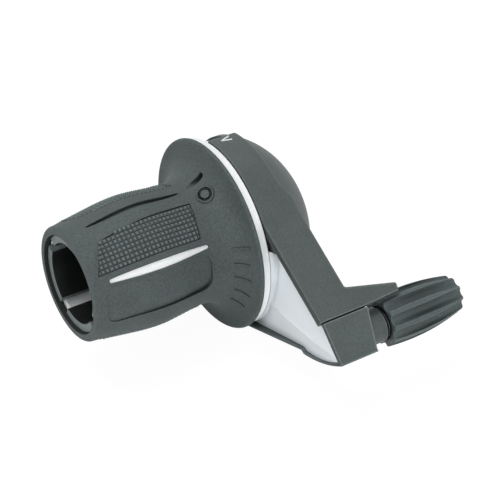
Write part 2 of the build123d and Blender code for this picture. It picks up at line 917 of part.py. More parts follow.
# Clamp screw and its square nut
with BuildPart() as clamp_screw:
    with BuildSketch(facing(clamp_angle, clamp_screw_start)):
        with Locations((clamp_at, 0)):
            Circle(clamp_screw_radius)
    extrude(amount=clamp_screw_end - clamp_screw_start)
    with BuildSketch(facing(clamp_angle, clamp_screw_end)):
        with Locations((clamp_at, 0)):
            RegularPolygon(clamp_screw_hex / 2, 6, major_radius=False)
    extrude(amount=-clamp_screw_hex_depth, mode=Mode.SUBTRACT)
clamp_screw.part.label = "clamp_screw"

with BuildPart() as clamp_nut:
    with BuildSketch(facing(clamp_angle, nut_seat)):
        with Locations((clamp_at, 0)):
            Rectangle(nut_width, nut_width)
            Circle(clamp_screw_radius + screw_fit, mode=Mode.SUBTRACT)
    extrude(amount=nut_thickness)
clamp_nut.part.label = "clamp_nut"

# Cover screw
with BuildPart() as cover_screw:
    with BuildSketch(across_bar(arm_inner)):
        with Locations(on_arm(cover_screw_along, cover_screw_level)):
            Circle(cover_screw_head)
    extrude(amount=cover_screw_head_height)
    fillet(cover_screw.faces().sort_by(Axis.X)[-1].edges(), cover_screw_head_height / 2)
    with BuildSketch(across_bar(arm_inner)):
        with Locations(on_arm(cover_screw_along, cover_screw_level)):
            Circle(cover_screw_radius)
    extrude(amount=-cover_screw_length)
    with BuildSketch(across_bar(arm_inner + cover_screw_head_height)):
        with Locations(on_arm(cover_screw_along, cover_screw_level)):
            Rectangle(cover_screw_cross, cover_screw_cross_width)
            Rectangle(cover_screw_cross_width, cover_screw_cross)
    extrude(amount=-cover_screw_head_height / 2, mode=Mode.SUBTRACT)
cover_screw.part.label = "cover_screw"


# Barrel adjuster: fluted knob, hollow stem, keyed click sleeve and its spring
def flute_plane(index):
    """The plane that starts one flute, leaning in towards the knob's tip."""
    y, z = on_circle(index * 360 / flute_count, 1)
    foot = knob_radius - flute_depth + flute_radius
    tip = knob_tip_radius - flute_tip_depth + flute_radius
    return Plane(
        origin=(knob_start, adjuster[0] + y * foot, adjuster[1] + z * foot),
        z_dir=(knob_end - knob_start, y * (tip - foot), z * (tip - foot)),
    )


adjuster_axis = Axis((0, *adjuster), (1, 0, 0))
knob_section = Plane(origin=(0, *adjuster), x_dir=(1, 0, 0), z_dir=(0, 0, 1))
with BuildPart() as adjuster_knob:
    with BuildSketch(knob_section):
        with BuildLine():
            Spline(
                (knob_start, knob_foot_radius),
                (knob_start + knob_widest_run, knob_radius),
                (knob_end - knob_tip_edge, knob_tip_radius),
            )
            Polyline(
                (knob_end - knob_tip_edge, knob_tip_radius),
                (knob_end, knob_tip_radius - knob_tip_edge),
                (knob_end, socket_radius),
                (socket_floor, socket_radius),
                (socket_floor, stem_radius),
                (knob_floor, stem_radius),
                (knob_floor, knob_bore),
                (knob_start, knob_bore),
                (knob_start, knob_foot_radius),
            )
        make_face()
    revolve(axis=adjuster_axis)
    for index in range(flute_count):
        with BuildSketch(flute_plane(index)):
            Circle(flute_radius)
        extrude(amount=knob_end, both=True, mode=Mode.SUBTRACT)
adjuster_knob.part.label = "adjuster_knob"

with BuildPart() as adjuster_stem:
    with BuildSketch(across_bar(stem_start)):
        with Locations(adjuster):
            Circle(stem_radius)
            Circle(cable_hole_radius, mode=Mode.SUBTRACT)
    extrude(amount=socket_floor - stem_gap - stem_start)
adjuster_stem.part.label = "adjuster_stem"

with BuildPart() as click_sleeve:
    with BuildSketch(across_bar(click_start)):
        with Locations(adjuster):
            Circle(click_radius)
    extrude(amount=click_length)
    with BuildSketch(across_bar(click_start)):
        with Locations(adjuster):
            Circle(click_bore)
            Rectangle(2 * (spigot_flat + key_clearance), 2 * click_bore, mode=Mode.INTERSECT)
    extrude(amount=click_length, mode=Mode.SUBTRACT)
click_sleeve.part.label = "click_sleeve"

with BuildPart() as adjuster_spring:
    spring_radius = (spigot_radius + click_radius) / 2
    spring_run = click_start - neck_end - 2 * spring_wire
    with BuildLine() as spring_path:
        Helix(
            pitch=spring_run / spring_turns,
            height=spring_run,
            radius=spring_radius,
            center=(neck_end + spring_wire, *adjuster),
            direction=(1, 0, 0),
        )
    with BuildSketch(Plane(origin=spring_path.line @ 0, z_dir=spring_path.line % 0)):
        RegularPolygon(spring_wire / 2, spring_wire_sides)
    sweep(path=spring_path.line)
adjuster_spring.part.label = "adjuster_spring"

os.makedirs("parts", exist_ok=True)
for piece in (
    grip_core,
    cable_spool,
    grip_rubber,
    top_cover,
    side_panel,
    cable_guide,
    housing_body,
    bar_sleeve,
    detent_spring,
    clamp_screw,
    clamp_nut,
    cover_screw,
    adjuster_knob,
    adjuster_stem,
    click_sleeve,
    adjuster_spring,
):
    export_step(piece.part, f"parts/{piece.part.label}.step")
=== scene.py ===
# %% [markdown]
# # Twist grip shifter
# The imported CAD model is the fixed frame: every piece made here sits on it and rides on one of its
# bodies. The box of the bare frame is measured and kept.

# %% Load the frame
import bpy
import math
from mathutils import Matrix, Vector


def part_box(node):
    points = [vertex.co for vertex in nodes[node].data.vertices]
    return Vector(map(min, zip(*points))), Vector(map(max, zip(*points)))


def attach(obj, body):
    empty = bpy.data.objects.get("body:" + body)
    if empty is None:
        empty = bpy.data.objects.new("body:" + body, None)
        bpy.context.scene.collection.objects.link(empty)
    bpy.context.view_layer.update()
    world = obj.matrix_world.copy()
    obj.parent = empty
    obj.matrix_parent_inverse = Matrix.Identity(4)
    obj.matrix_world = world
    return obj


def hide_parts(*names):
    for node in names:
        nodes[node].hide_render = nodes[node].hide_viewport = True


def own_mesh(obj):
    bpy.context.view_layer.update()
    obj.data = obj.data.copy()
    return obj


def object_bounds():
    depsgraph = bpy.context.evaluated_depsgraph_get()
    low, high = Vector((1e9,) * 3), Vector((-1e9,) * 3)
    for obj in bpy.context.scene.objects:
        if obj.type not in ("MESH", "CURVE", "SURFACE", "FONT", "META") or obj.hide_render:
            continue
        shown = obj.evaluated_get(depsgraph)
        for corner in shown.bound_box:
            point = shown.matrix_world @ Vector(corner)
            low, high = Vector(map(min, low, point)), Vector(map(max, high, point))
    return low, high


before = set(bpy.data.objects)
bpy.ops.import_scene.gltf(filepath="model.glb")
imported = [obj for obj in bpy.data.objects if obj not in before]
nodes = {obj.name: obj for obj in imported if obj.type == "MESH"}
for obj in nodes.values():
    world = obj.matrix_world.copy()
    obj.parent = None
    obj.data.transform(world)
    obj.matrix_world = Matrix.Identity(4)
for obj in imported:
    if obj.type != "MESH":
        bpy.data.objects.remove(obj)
cad_low, cad_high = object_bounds()
MM = 0.001
print("CAD box in mm:", [round(side / MM, 1) for side in cad_high - cad_low])

# %% [markdown]
# ## Tools for the finishes
# Every finish of the shifter is a Principled shader fed by a few nodes, so the nodes that come back again
# and again get a function each. A picture of the grain would do as well, but a noise needs no file, shows
# no seams and keeps its scale on every piece, because Object coordinates are metres here.

# %% Functions that add shader nodes
def new_finish(name):
    finish = bpy.data.materials.new(name)
    finish.use_nodes = True
    return finish, finish.node_tree, finish.node_tree.nodes["Principled BSDF"]


def noise(tree, vector, scale, detail):
    texture = tree.nodes.new("ShaderNodeTexNoise")
    texture.inputs["Scale"].default_value = scale
    texture.inputs["Detail"].default_value = detail
    tree.links.new(vector, texture.inputs["Vector"])
    return texture.outputs["Fac"]


def mapped(tree, value, low, high, to_low, to_high):
    """Takes a value from one range to another, and holds it at the ends."""
    span = tree.nodes.new("ShaderNodeMapRange")
    span.inputs["From Min"].default_value = low
    span.inputs["From Max"].default_value = high
    span.inputs["To Min"].default_value = to_low
    span.inputs["To Max"].default_value = to_high
    tree.links.new(value, span.inputs["Value"])
    return span.outputs["Result"]


def bumped(tree, shader, height, strength, distance):
    bump = tree.nodes.new("ShaderNodeBump")
    bump.inputs["Strength"].default_value = strength
    bump.inputs["Distance"].default_value = distance
    tree.links.new(height, bump.inputs["Height"])
    tree.links.new(bump.outputs["Normal"], shader.inputs["Normal"])
    return bump


def scale_color(finish, factor):
    """Multiplies the colour that a finish has so far by a factor."""
    tree = finish.node_tree
    base = tree.nodes["Principled BSDF"].inputs["Base Color"]
    plain = base.links[0].from_socket
    scaled = tree.nodes.new("ShaderNodeVectorMath")
    scaled.operation = "SCALE"
    tree.links.new(plain, scaled.inputs[0])
    tree.links.new(factor, scaled.inputs["Scale"])
    tree.links.new(scaled.outputs["Vector"], base)


print("materials so far:", len(bpy.data.materials))

# %% [markdown]
# ## Moulded finishes
# The housing is moulded in a charcoal plastic with a fine spark-eroded grain, and the grip in a softer,
# duller rubber. One noise gives the grain, both as a bump and as a speckle in the colour, and a coarser
# one mottles it. A scale of 2000 is a grain of about 0.5 mm. A Bevel node rounds the shading of sharp
# edges, as a mould does. The silver panel has flat facets instead, so it reads the mesh's true normals.

# %% A grainy moulded finish
MOULD_EDGE = 0.25 * MM
MOULD_EDGE_SAMPLES = 4
GRAIN_DETAIL = 3.0
GRAIN_STRENGTH = 0.6
CLOUD_DETAIL = 4.0
GRAINS_PER_CLOUD = 14
NOISE_LOW = 0.3
NOISE_HIGH = 0.7
MOULDED_SPREAD = 0.06
MOULDED_SPECULAR = 0.3


def moulded(
    name, color, roughness, grain_scale, grain_height, mottle, speckle=0.0, coat=0.0, facets=False
):
    finish, tree, shader = new_finish(name)
    place = tree.nodes.new("ShaderNodeTexCoord").outputs["Object"]
    grain = noise(tree, place, grain_scale, GRAIN_DETAIL)
    cloud = noise(tree, place, grain_scale / GRAINS_PER_CLOUD, CLOUD_DETAIL)
    bump = bumped(tree, shader, grain, GRAIN_STRENGTH, grain_height)
    if facets:
        mesh = tree.nodes.new("ShaderNodeNewGeometry")
        tree.links.new(mesh.outputs["True Normal"], bump.inputs["Normal"])
    else:
        soft_edge = tree.nodes.new("ShaderNodeBevel")
        soft_edge.samples = MOULD_EDGE_SAMPLES
        soft_edge.inputs["Radius"].default_value = MOULD_EDGE
        tree.links.new(soft_edge.outputs["Normal"], bump.inputs["Normal"])
    tint = tree.nodes.new("ShaderNodeValToRGB")
    dark, pale = tint.color_ramp.elements
    dark.position = NOISE_LOW
    dark.color = [part * (1 - mottle) for part in color] + [1]
    pale.position = NOISE_HIGH
    pale.color = [part * (1 + mottle) for part in color] + [1]
    tree.links.new(cloud, tint.inputs["Fac"])
    tree.links.new(tint.outputs["Color"], shader.inputs["Base Color"])
    scale_color(finish, mapped(tree, grain, NOISE_LOW, NOISE_HIGH, 1 - speckle, 1 + speckle))
    sheen = mapped(tree, cloud, 0, 1, roughness - MOULDED_SPREAD, roughness + MOULDED_SPREAD)
    tree.links.new(sheen, shader.inputs["Roughness"])
    shader.inputs["Specular IOR Level"].default_value = MOULDED_SPECULAR
    shader.inputs["Coat Weight"].default_value = coat
    return finish


print("softened edge in mm:", round(MOULD_EDGE / MM, 2))

# %% Mix the charcoal finishes
rubber = moulded(
    "grip rubber", (0.068, 0.083, 0.083), roughness=0.72,
    grain_scale=1900, grain_height=0.12 * MM, mottle=0.10, speckle=0.22,
)
pad_rubber = moulded(
    "pad rubber", (0.072, 0.088, 0.088), roughness=0.66,
    grain_scale=1900, grain_height=0.04 * MM, mottle=0.10, speckle=0.15,
)
housing_plastic = moulded(
    "charcoal housing", (0.068, 0.083, 0.082), roughness=0.50,
    grain_scale=2200, grain_height=0.09 * MM, mottle=0.07, speckle=0.18,
)
cover_plastic = moulded(
    "charcoal cover", (0.066, 0.081, 0.079), roughness=0.52,
    grain_scale=2200, grain_height=0.09 * MM, mottle=0.07, speckle=0.18,
)
knob_plastic = moulded(
    "charcoal knob", (0.074, 0.095, 0.095), roughness=0.45,
    grain_scale=1900, grain_height=0.06 * MM, mottle=0.08, speckle=0.15,
)
# The sleeve is black plastic like the housing, mixed about twice as light: painted light on the lit ends
# of its fingers. Its inner walls get painted shade further down.
sleeve_lit_and_shaded = moulded(
    "charcoal sleeve", (0.15, 0.18, 0.175), roughness=0.5,
    grain_scale=2200, grain_height=0.06 * MM, mottle=0.06, speckle=0.12,
)
print("charcoal finishes:", len(bpy.data.materials))

# %% Mix the pale finishes and the prints
silver_plastic = moulded(
    "silver panel", (0.74, 0.785, 0.81), roughness=0.36,
    grain_scale=900, grain_height=0.008 * MM, mottle=0.02, coat=0.15, facets=True,
)
# The paler silver of the ridge strip is a painted highlight along the panel's fold.
ridge_highlight_silver = moulded(
    "painted ridge highlight", (0.92, 0.94, 0.95), roughness=0.30,
    grain_scale=900, grain_height=0.008 * MM, mottle=0.015, coat=0.2,
)
white_plastic = moulded(
    "white core", (0.88, 0.90, 0.90), roughness=0.42,
    grain_scale=900, grain_height=0.008 * MM, mottle=0.015,
)
mark_white = moulded(
    "white print", (0.82, 0.85, 0.85), roughness=0.55,
    grain_scale=2000, grain_height=0.01 * MM, mottle=0.03,
)
mark_black = moulded(
    "black print", (0.02, 0.02, 0.022), roughness=0.5,
    grain_scale=2000, grain_height=0.01 * MM, mottle=0.05,
)
print("moulded finishes:", len(bpy.data.materials))

# %% [markdown]
# ## The dark bore
# Little light reaches the inside of the sleeve, or the narrow gap between it and the rubber's mouth. The
# colour is mixed with near black wherever the distance from the bar's axis is that of the inner wall,
# which leaves the ends of the fingers and the rubber's rim grey. A second finish on those faces would do
# too, but a CAD node's mesh is left as it is.

# %% Darken the inner walls of the sleeve and the mouth
SLEEVE_INSIDE = 11.25 * MM
MOUTH_INSIDE = 13.75 * MM
INSIDE_BLEND = 0.2 * MM
ACROSS_BAR = (0, 1, 1)


def darken_within(finish, radius, color):
    tree = finish.node_tree
    base = tree.nodes["Principled BSDF"].inputs["Base Color"]
    plain = base.links[0].from_socket
    place = tree.nodes.new("ShaderNodeTexCoord")
    across = tree.nodes.new("ShaderNodeVectorMath")
    across.operation = "MULTIPLY"
    across.inputs[1].default_value = ACROSS_BAR
    tree.links.new(place.outputs["Object"], across.inputs[0])
    distance = tree.nodes.new("ShaderNodeVectorMath")
    distance.operation = "LENGTH"
    tree.links.new(across.outputs["Vector"], distance.inputs[0])
    outside = mapped(tree, distance.outputs["Value"], radius, radius + INSIDE_BLEND, 0, 1)
    mix = tree.nodes.new("ShaderNodeMix")
    mix.data_type = "RGBA"
    mix.inputs["A"].default_value = (*color, 1)
    tree.links.new(outside, mix.inputs["Factor"])
    tree.links.new(plain, mix.inputs["B"])
    tree.links.new(mix.outputs["Result"], base)


darken_within(sleeve_lit_and_shaded, SLEEVE_INSIDE, (0.004, 0.005, 0.005))
darken_within(rubber, MOUTH_INSIDE, (0.012, 0.014, 0.014))
print("darkened inside:", sleeve_lit_and_shaded.name, "and", rubber.name)

# %% [markdown]
# ## Wear, painted light and painted shade in the finishes
# Each of the next functions multiplies a finish's colour by a factor. An attribute named peak, which each
# pad's mesh will carry and which is 1 at the tips of its pyramids, makes the worn tips lighter and the
# valleys between them darker with dust and painted shade. The inward reach of an Ambient Occlusion node,
# which is short near an outer edge, paints a highlight along the edges. Its outward reach, which is short
# in a crevice, paints shade into crevices, gaps and the space under overhangs. The direction of a face
# paints shade on the faces that turn outboard and on the faces that turn down. These marks could be
# painted by hand as well, but they would have to be painted again after each change of shape.

# %% Functions for wear, painted highlights and painted shade
REACH_SAMPLES = 6
SHARP_EDGE_REACH = 0.55
CREVICE_REACH = 0.2
OPEN_REACH = 0.85


def reach(tree, distance, inward):
    """The share of rays that get a distance away from a face, outwards or through its own piece."""
    rays = tree.nodes.new("ShaderNodeAmbientOcclusion")
    rays.inside = inward
    rays.only_local = inward
    rays.samples = REACH_SAMPLES
    rays.inputs["Distance"].default_value = distance
    return rays.outputs["AO"]


# Lighter worn tips, with dust and painted shade in the valleys between the pyramids.
def lighten_peaks(finish, foot, tip):
    tree = finish.node_tree
    peak = tree.nodes.new("ShaderNodeAttribute")
    peak.attribute_name = "peak"
    scale_color(finish, mapped(tree, peak.outputs["Fac"], 0, 1, foot, tip))


# A painted highlight along outer edges, where the inward reach is short.
def wear_edges(finish, width, gain):
    tree = finish.node_tree
    scale_color(finish, mapped(tree, reach(tree, width, True), SHARP_EDGE_REACH, 1, gain, 1))


# Painted shade in crevices, gaps and under overhangs, where the outward reach is short.
def shade_crevices(finish, depth, darkest):
    tree = finish.node_tree
    open_share = reach(tree, depth, False)
    scale_color(finish, mapped(tree, open_share, CREVICE_REACH, OPEN_REACH, darkest, 1))


def shade_facing(finish, axis, full, none, share):
    """Paints shade on faces by one part of their normal, wholly at full and not at all at none."""
    tree = finish.node_tree
    place = tree.nodes.new("ShaderNodeTexCoord")
    parts = tree.nodes.new("ShaderNodeSeparateXYZ")
    tree.links.new(place.outputs["Normal"], parts.inputs["Vector"])
    scale_color(finish, mapped(tree, parts.outputs[axis], full, none, share, 1))


print("rays for each reach:", REACH_SAMPLES)

# %% Paint wear and shade on the pads, highlights on the edges, shade in the crevices, on the side walls and on the panel's lower facet
# Worn, lighter tips on the pads, with dust and painted shade between the pyramids.
lighten_peaks(pad_rubber, foot=0.5, tip=2.4)
# Painted shade on the silver panel's lower facet, which faces down.
shade_facing(silver_plastic, "Z", full=-0.1, none=0.0, share=0.87)
# Painted shade on faces turned outboard, and a painted highlight along the outer edges.
for finish in (housing_plastic, cover_plastic):
    shade_facing(finish, "X", full=-0.9, none=-0.6, share=0.48)
    wear_edges(finish, width=0.5 * MM, gain=2.2)
# A painted highlight along the knob's edges and the ends of its ridges.
wear_edges(knob_plastic, width=0.25 * MM, gain=1.5)
# Painted shade in the crevices of each part and in the gaps between parts.
shade_crevices(housing_plastic, depth=3.0 * MM, darkest=0.45)
shade_crevices(cover_plastic, depth=4.0 * MM, darkest=0.15)
shade_crevices(knob_plastic, depth=2.5 * MM, darkest=0.12)
shade_crevices(rubber, depth=1.5 * MM, darkest=0.4)
print("finishes with wear and painted light:", pad_rubber.name, housing_plastic.name, cover_plastic.name, knob_plastic.name)

# %% [markdown]
# ## Metal finishes
# The screws, springs and the brass stem are small turned or drawn pieces. A noise stretched along the
# bar's axis stands for drawing marks, and the metal itself is the shader's own Metallic value. An
# anisotropic gloss would also look drawn, but it hardly shows on pieces of a few millimetres.

# %% A drawn metal finish
MARK_STRETCH = (0.15, 1, 1)
MARK_SCALE = 4000
MARK_DETAIL = 2.0
MARK_STRENGTH = 0.3
MARK_DEPTH = 0.01 * MM
METAL_SPREAD = 0.1


def drawn_metal(name, color, roughness):
    finish, tree, shader = new_finish(name)
    shader.inputs["Metallic"].default_value = 1.0
    shader.inputs["Base Color"].default_value = (*color, 1)
    place = tree.nodes.new("ShaderNodeTexCoord")
    stretch = tree.nodes.new("ShaderNodeMapping")
    stretch.inputs["Scale"].default_value = MARK_STRETCH
    tree.links.new(place.outputs["Object"], stretch.inputs["Vector"])
    marks = noise(tree, stretch.outputs["Vector"], MARK_SCALE, MARK_DETAIL)
    worn = mapped(tree, marks, 0, 1, roughness - METAL_SPREAD, roughness + METAL_SPREAD)
    tree.links.new(worn, shader.inputs["Roughness"])
    bumped(tree, shader, marks, MARK_STRENGTH, MARK_DEPTH)
    return finish


bright_steel = drawn_metal("bright steel", (0.60, 0.60, 0.59), roughness=0.32)
black_steel = drawn_metal("black oxide steel", (0.06, 0.06, 0.062), roughness=0.45)
zinc_steel = drawn_metal("dull zinc", (0.30, 0.31, 0.31), roughness=0.5)
brass = drawn_metal("brass", (0.72, 0.53, 0.26), roughness=0.30)
print("finishes in all:", len(bpy.data.materials))

# %% [markdown]
# ## Dressing the CAD nodes
# The CAD nodes already have the right shape, so they only take a finish. The adjuster's spring isn't here,
# because a coil of its own replaces it further down.

# %% Give each CAD node its finish
NODE_FINISH = {
    "housing_body": housing_plastic,
    "bar_sleeve": sleeve_lit_and_shaded,
    "top_cover": cover_plastic,
    "side_panel": silver_plastic,
    "grip_core": white_plastic,
    "cable_spool": white_plastic,
    "grip_rubber": rubber,
    "adjuster_knob": knob_plastic,
    "adjuster_stem": brass,
    "click_sleeve": housing_plastic,
    "cable_guide": bright_steel,
    "detent_spring": bright_steel,
    "clamp_screw": black_steel,
    "clamp_nut": zinc_steel,
    "cover_screw": black_steel,
}
for node_name, finish in NODE_FINISH.items():
    nodes[node_name].data.materials.clear()
    nodes[node_name].data.materials.append(finish)
print("nodes dressed:", len(NODE_FINISH))

# %% [markdown]
# ## Helpers for pieces that lie on a surface
# Most details here are thin pieces on a curved surface. Each starts as a flat grid, is turned to face
# the surface, and a Shrinkwrap modifier projects it along its own Z axis onto a CAD node. Solidify then
# gives it a wall, and the object's turn is applied, so that its place ends up in its mesh. Each vertex
# could be placed by a formula instead, but the projection also fits where the surface has no formula.

# %% Start a flat piece and lift it
bpy.context.tool_settings.mesh_select_mode = (False, False, True)


def only(piece):
    bpy.ops.object.select_all(action="DESELECT")
    piece.select_set(True)
    bpy.context.view_layer.objects.active = piece


def flat_grid(name, columns, rows, length, width, middle_x=0):
    bpy.ops.object.select_all(action="DESELECT")
    bpy.ops.mesh.primitive_grid_add(x_subdivisions=columns, y_subdivisions=rows, size=1)
    piece = bpy.context.object
    piece.name = name
    bpy.ops.object.mode_set(mode="EDIT")
    bpy.ops.mesh.select_all(action="SELECT")
    bpy.ops.transform.resize(value=(length, width, 1))
    bpy.ops.transform.translate(value=(middle_x, 0, 0))
    bpy.ops.object.mode_set(mode="OBJECT")
    return piece


def lift(piece, height):
    """Moves the whole mesh along its own Z axis, clear of the surface that it will be projected onto."""
    only(piece)
    bpy.ops.object.mode_set(mode="EDIT")
    bpy.ops.mesh.select_all(action="SELECT")
    bpy.ops.transform.translate(value=(0, 0, height))
    bpy.ops.object.mode_set(mode="OBJECT")


print("select vertices, edges, faces:", list(bpy.context.tool_settings.mesh_select_mode))

# %% Turn a piece to face the surface
OUTBOARD = Vector((-1, 0, 0))


def facing_turn(angle):
    """The turn about X that points a piece's Z axis out from the bar at an angle."""
    return math.radians(90 - angle)


def radial_at(angle):
    """The direction straight out from the bar at an angle."""
    return Vector((0, -math.cos(math.radians(angle)), math.sin(math.radians(angle))))


def turn_to(first, last):
    """The turn that points a piece's X axis along the first direction and its Z axis along the last."""
    return Matrix((first, last.cross(first), last)).transposed().to_euler()


print("straight up from the bar:", [round(part, 3) for part in radial_at(90)])

# %% Wrap, thicken and settle a piece
def wrap_onto(piece, node):
    bpy.context.view_layer.update()
    only(piece)
    wrap = piece.modifiers.new("wrap", "SHRINKWRAP")
    wrap.target = nodes[node]
    wrap.wrap_method = "PROJECT"
    wrap.use_project_z = True
    wrap.use_positive_direction = False
    wrap.use_negative_direction = True
    bpy.ops.object.modifier_apply(modifier="wrap")


def thicken(piece, thickness, outward):
    only(piece)
    wall = piece.modifiers.new("wall", "SOLIDIFY")
    wall.thickness = thickness
    wall.offset = 1.0 if outward else -1.0
    bpy.ops.object.modifier_apply(modifier="wall")


def settle(piece, finish, body):
    """Applies a piece's place and turn, dresses it and lets it ride on a body."""
    only(piece)
    bpy.ops.object.transform_apply(location=True, rotation=True, scale=True)
    piece.data.materials.clear()
    piece.data.materials.append(finish)
    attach(piece, body)
    print(piece.name, len(piece.data.polygons), "faces")


print("nodes to lay pieces on:", len(nodes))

# %% [markdown]
# ## Pyramid pads
# Four pads in the grip carry a field of tiny pyramids for the fingers. A grid with one square per
# pyramid loses the squares beyond the pad's long edges, Bisect cuts its slanted ends, and it is wrapped
# onto the floor of its recess. Then each face is poked: Poke puts a point in the middle of a face and
# lifts it. An array of cones would do too, but it wouldn't follow the cut ends.

# %% The outline of a pad
PAD_LEFT = -41.3 * MM
PAD_RIGHT = -9.4 * MM
PAD_LEFT_SLANT = 3.8 * MM
PAD_RIGHT_SLANT = 1.8 * MM
PAD_WIDTH = 10.2 * MM
PAD_MARGIN = 0.25 * MM
BOW_DEPTH = 0.31
BOW_RUN = 0.45
STRAIGHT_EDGE = -0.97
BOWED_EDGE_GAP = 0.04
CUT_MERGE = 0.001 * MM


def inside_pad(x, y, side):
    """Whether a square lies between the pad's straight long edge and its bowed one."""
    across = y * side / (PAD_WIDTH / 2)
    along = (x - PAD_LEFT - PAD_LEFT_SLANT) / (PAD_RIGHT - PAD_LEFT - PAD_LEFT_SLANT)
    bowed_edge = 1 - BOW_DEPTH * max(0, 1 - along / BOW_RUN) ** 2
    return STRAIGHT_EDGE < across < bowed_edge - BOWED_EDGE_GAP


def cut_end(x_foot, x_top, side, outward):
    """Cuts a pad off along a slanted line from its foot to its top and drops what lies outside."""
    run = Vector((x_top - x_foot, side * PAD_WIDTH, 0))
    beyond = Vector((run.y, -run.x, 0)).normalized() * side * outward
    foot = (x_foot, -side * PAD_WIDTH / 2, 0)
    bpy.ops.object.mode_set(mode="EDIT")
    bpy.ops.mesh.select_all(action="SELECT")
    bpy.ops.mesh.bisect(plane_co=foot, plane_no=beyond, clear_outer=True, threshold=CUT_MERGE)
    bpy.ops.object.mode_set(mode="OBJECT")


print("pad length in mm:", round((PAD_RIGHT - PAD_LEFT) / MM, 1))

# %% Make the four pads
PYRAMID = 1.24 * MM
PYRAMID_HEIGHT = 0.7 * MM
PAD_WALL = 0.2 * MM
PAD_LIFT = 25 * MM
OUTER_FACE = 0.5


def raise_pyramids(pad):
    """Pokes the outer faces and marks the new points as peaks for the finish."""
    for face in pad.data.polygons:
        face.select = face.normal.z > OUTER_FACE
    foot_count = len(pad.data.vertices)
    bpy.ops.object.mode_set(mode="EDIT")
    bpy.ops.mesh.select_mode(type="FACE")
    bpy.ops.mesh.poke(offset=PYRAMID_HEIGHT)
    bpy.ops.object.mode_set(mode="OBJECT")
    peak = pad.data.attributes.new("peak", "FLOAT", "POINT")
    for index in range(foot_count, len(pad.data.vertices)):
        peak.data[index].value = 1.0


def pyramid_pad(name, angle, side):
    columns = round((PAD_RIGHT - PAD_LEFT) / PYRAMID)
    rows = round(PAD_WIDTH / PYRAMID)
    middle_x = (PAD_LEFT + PAD_RIGHT) / 2
    pad = flat_grid(name, columns, rows, columns * PYRAMID, rows * PYRAMID, middle_x)
    for face in pad.data.polygons:
        face.select = not inside_pad(face.center.x, face.center.y, side)
    bpy.ops.object.mode_set(mode="EDIT")
    bpy.ops.mesh.select_mode(type="FACE")
    bpy.ops.mesh.delete(type="FACE")
    bpy.ops.object.mode_set(mode="OBJECT")
    left = PAD_LEFT + PAD_MARGIN
    right = PAD_RIGHT - PAD_MARGIN
    cut_end(left, left + PAD_LEFT_SLANT, side, -1)
    cut_end(right - PAD_RIGHT_SLANT, right, side, 1)
    lift(pad, PAD_LIFT)
    pad.rotation_euler.x = facing_turn(angle)
    wrap_onto(pad, "grip_rubber")
    thicken(pad, PAD_WALL, outward=False)
    raise_pyramids(pad)
    settle(pad, pad_rubber, "grip")


for pad_name, pad_angle, pad_side in (
    ("pad_front_top", 54.4, 1),
    ("pad_back_top", 120.6, -1),
    ("pad_back_low", 234.4, 1),
    ("pad_front_low", 300.6, -1),
):
    pyramid_pad(pad_name, pad_angle, pad_side)

# %% [markdown]
# ## Ribs and boss on the flange
# The flared flange carries a few short raised ribs for the thumb and one plain round boss. A strip is
# projected onto the flare along the bar's axis, and Solidify raises it. The boss starts as a disc with
# inset rings. Its rim and its middle are extruded, so that a groove is left between them. Both could be
# part of the CAD model, but they are a texture on the rubber and change nothing in how it fits.

# %% Raise the ribs on the flange
RIB_WIDTH = 0.4 * MM
RIB_RISE = 0.3 * MM
RIB_LIFT = 20 * MM
RIB_COLUMNS = 14


def flange_rib(name, angle, inner, outer):
    middle_x = (inner + outer) / 2
    rib = flat_grid(name, RIB_COLUMNS, 1, outer - inner, RIB_WIDTH, middle_x)
    lift(rib, RIB_LIFT)
    rib.rotation_euler = turn_to(radial_at(angle), OUTBOARD)
    wrap_onto(rib, "grip_rubber")
    thicken(rib, RIB_RISE, outward=True)
    settle(rib, rubber, "grip")


for rib_name, rib_angle, rib_inner, rib_outer in (
    ("flange_rib_1", 21.0, 18.9 * MM, 23.6 * MM),
    ("flange_rib_2", 8.0, 18.9 * MM, 22.6 * MM),
    ("flange_rib_3", -5.0, 18.9 * MM, 22.8 * MM),
    ("flange_rib_4", -19.0, 19.2 * MM, 23.0 * MM),
    ("flange_rib_5", -33.0, 19.2 * MM, 23.0 * MM),
):
    flange_rib(rib_name, rib_angle, rib_inner, rib_outer)

# %% Lay a ringed disc on the flange
BOSS_RADIUS = 2.5 * MM
BOSS_X = -5.3 * MM
BOSS_ANGLE = 72.3
BOSS_REACH = 19.5 * MM
BOSS_RINGS = 6
BOSS_SIDES = 48
BOSS_LIFT = 4 * MM
near_boss = Vector((BOSS_X, 0, 0)) + radial_at(BOSS_ANGLE) * BOSS_REACH
# The answer holds more than the point and the normal, so only these two are taken out of it.
spot, outward = nodes["grip_rubber"].closest_point_on_mesh(near_boss)[1:3]
bpy.ops.object.select_all(action="DESELECT")
bpy.ops.mesh.primitive_circle_add(vertices=BOSS_SIDES, radius=BOSS_RADIUS, fill_type="NGON")
boss = bpy.context.object
boss.name = "flange_boss"
bpy.ops.object.mode_set(mode="EDIT")
bpy.ops.mesh.select_all(action="SELECT")
for ring in range(BOSS_RINGS - 1):
    bpy.ops.mesh.inset(thickness=BOSS_RADIUS / BOSS_RINGS)
bpy.ops.object.mode_set(mode="OBJECT")
lift(boss, BOSS_LIFT)
boss.location = spot
boss.rotation_euler = outward.to_track_quat("Z", "Y").to_euler()
wrap_onto(boss, "grip_rubber")
print("boss on the flange at, in mm:", [round(part / MM, 1) for part in spot])

# %% Raise its rim and its middle
RIM_FROM = 0.75
MIDDLE_TO = 0.45
BOSS_RISE = 0.3 * MM
BOSS_WALL = 0.06 * MM
for face in boss.data.polygons:
    share = face.center.xy.length / BOSS_RADIUS
    face.select = share > RIM_FROM or share < MIDDLE_TO
bpy.ops.object.mode_set(mode="EDIT")
bpy.ops.mesh.extrude_region_shrink_fatten(TRANSFORM_OT_shrink_fatten={"value": BOSS_RISE})
bpy.ops.object.mode_set(mode="OBJECT")
thicken(boss, BOSS_WALL, outward=True)
settle(boss, rubber, "grip")
